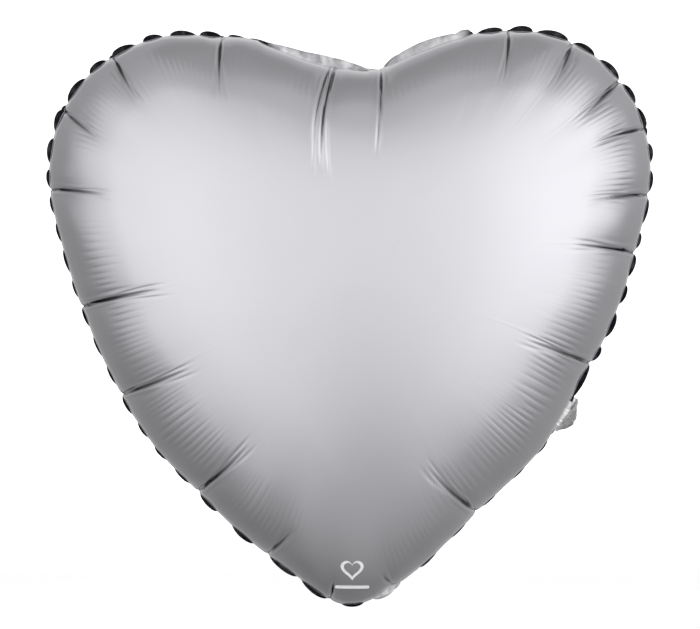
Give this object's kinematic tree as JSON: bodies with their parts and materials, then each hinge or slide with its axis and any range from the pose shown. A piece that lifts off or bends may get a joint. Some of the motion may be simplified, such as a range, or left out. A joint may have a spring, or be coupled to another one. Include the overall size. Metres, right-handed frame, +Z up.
{
  "type": "heart-shaped foil balloon",
  "caption": "Inflated heart-shaped foil party balloon with a welded pleated rim, a folding tail with a tie hole, and an inner flap valve.",
  "frame": {"origin": "centre of the overall box, on the plane of the rim's weld", "axes": "+X to the viewer's right, -Y out of the front panel, +Z up towards the two lobes"},
  "size_m": [0.43, 0.15, 0.41],
  "materials": {
    "front_film": "satin metallised film",
    "back_film": "satin metallised film",
    "tail_film": "bright crinkled metallised film",
    "valve_film": "clear thin polyethylene film",
    "print_ink": "white print"
  },
  "bodies": {
    "envelope": {"front_panel": "front_film", "back_panel": "back_film", "valve_throat_front": "valve_film", "valve_throat_back": "valve_film"},
    "tail": {"tail_front_ply": "tail_film", "tail_back_ply": "tail_film", "valve_tail_front": "valve_film", "valve_tail_back": "valve_film"},
    "front_lip": {"valve_lip_front": "valve_film"},
    "back_lip": {"valve_lip_back": "valve_film"}
  },
  "joints": [
    {"name": "tail_fold", "type": "hinge", "parent": "envelope", "child": "tail", "pos_m": [0.15243, 0, -0.07058], "axis": [0.5417, 0, 0.8406], "range_deg": [-168, 12]},
    {"name": "front_lip_open", "type": "hinge", "parent": "envelope", "child": "front_lip", "pos_m": [0.14053, 0, -0.06291], "axis": [0.5417, 0, 0.8406], "range_deg": [0, 12], "stiffness_Nm_per_rad": 0.00005},
    {"name": "back_lip_open", "type": "hinge", "parent": "envelope", "child": "back_lip", "pos_m": [0.14053, 0, -0.06291], "axis": [0.5417, 0, 0.8406], "range_deg": [-12, 0], "stiffness_Nm_per_rad": 0.00005}
  ],
  "couplings": [
    {"joint": "back_lip_open", "follows": "front_lip_open", "ratio": -1}
  ]
}
